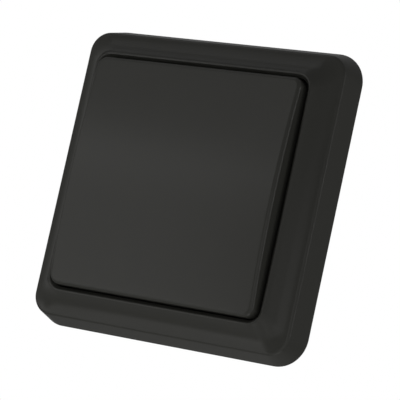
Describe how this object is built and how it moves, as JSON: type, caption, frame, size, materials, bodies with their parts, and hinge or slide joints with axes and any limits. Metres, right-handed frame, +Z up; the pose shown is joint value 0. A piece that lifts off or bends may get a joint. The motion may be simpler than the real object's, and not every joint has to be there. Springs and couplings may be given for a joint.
{
  "type": "light switch",
  "caption": "Flat surface-mounted wireless wall switch: one large rocker, sprung to the middle, in a square coved cover frame on a screw-down back plate.",
  "frame": {"origin": "middle of the back face, on the wall plane", "axes": "+Z up along the wall, -Y out of the wall towards the user, +X to the right seen from the front"},
  "size_m": [0.08, 0.0154, 0.08],
  "materials": {
    "frame_black": "fine satin moulding",
    "rocker_black": "fine satin moulding",
    "plate_black": "matt moulding",
    "pad_foam": "closed-cell foam with adhesive",
    "module_grey": "matt moulding",
    "plunger_natural": "natural acetal",
    "board_green": "solder resist",
    "cell_steel": "nickel-plated steel",
    "contact_steel": "nickel-plated spring strip",
    "contact_bronze": "gold-flashed bronze",
    "screw_steel": "zinc-plated steel",
    "spring_steel": "bright spring wire",
    "chip_black": "moulded epoxy",
    "crystal_can": "plated can",
    "capacitor_tan": "fired ceramic"
  },
  "bodies": {
    "housing": {"mounting_plate": "plate_black", "adhesive_pad_upper": "pad_foam", "adhesive_pad_lower": "pad_foam", "cover_frame": "frame_black", "module_base": "module_grey", "module_cover": "module_grey", "module_screws": "screw_steel", "circuit_board": "board_green", "coin_cell": "cell_steel", "battery_contact_positive": "contact_steel", "battery_contact_negative": "contact_steel", "return_spring_top": "spring_steel", "return_spring_bottom": "spring_steel", "fixed_contacts_top": "contact_bronze", "fixed_contacts_bottom": "contact_bronze", "radio_chip": "chip_black", "crystal": "crystal_can", "antenna": "contact_bronze", "chip_capacitors": "capacitor_tan"},
    "rocker": {"rocker": "rocker_black"},
    "plunger_top": {"plunger_top": "plunger_natural", "contact_bridge_top": "contact_bronze"},
    "plunger_bottom": {"plunger_bottom": "plunger_natural", "contact_bridge_bottom": "contact_bronze"}
  },
  "joints": [
    {"name": "rocker_tilt", "type": "hinge", "parent": "housing", "child": "rocker", "pos_m": [0, -0.0086, 0], "axis": [1, 0, 0], "range_deg": [-2.4, 2.4], "stiffness_Nm_per_rad": 1.25},
    {"name": "plunger_top_slide", "type": "slide", "parent": "housing", "child": "plunger_top", "axis": [0, -1, 0], "range_m": [-0.00068, 0.00068], "deforming": ["return_spring_top"]},
    {"name": "plunger_bottom_slide", "type": "slide", "parent": "housing", "child": "plunger_bottom", "axis": [0, -1, 0], "range_m": [-0.00068, 0.00068], "deforming": ["return_spring_bottom"]}
  ],
  "couplings": [
    {"joint": "plunger_top_slide", "follows": "rocker_tilt", "m_per_rad": 0.016},
    {"joint": "plunger_bottom_slide", "follows": "rocker_tilt", "m_per_rad": -0.016}
  ]
}
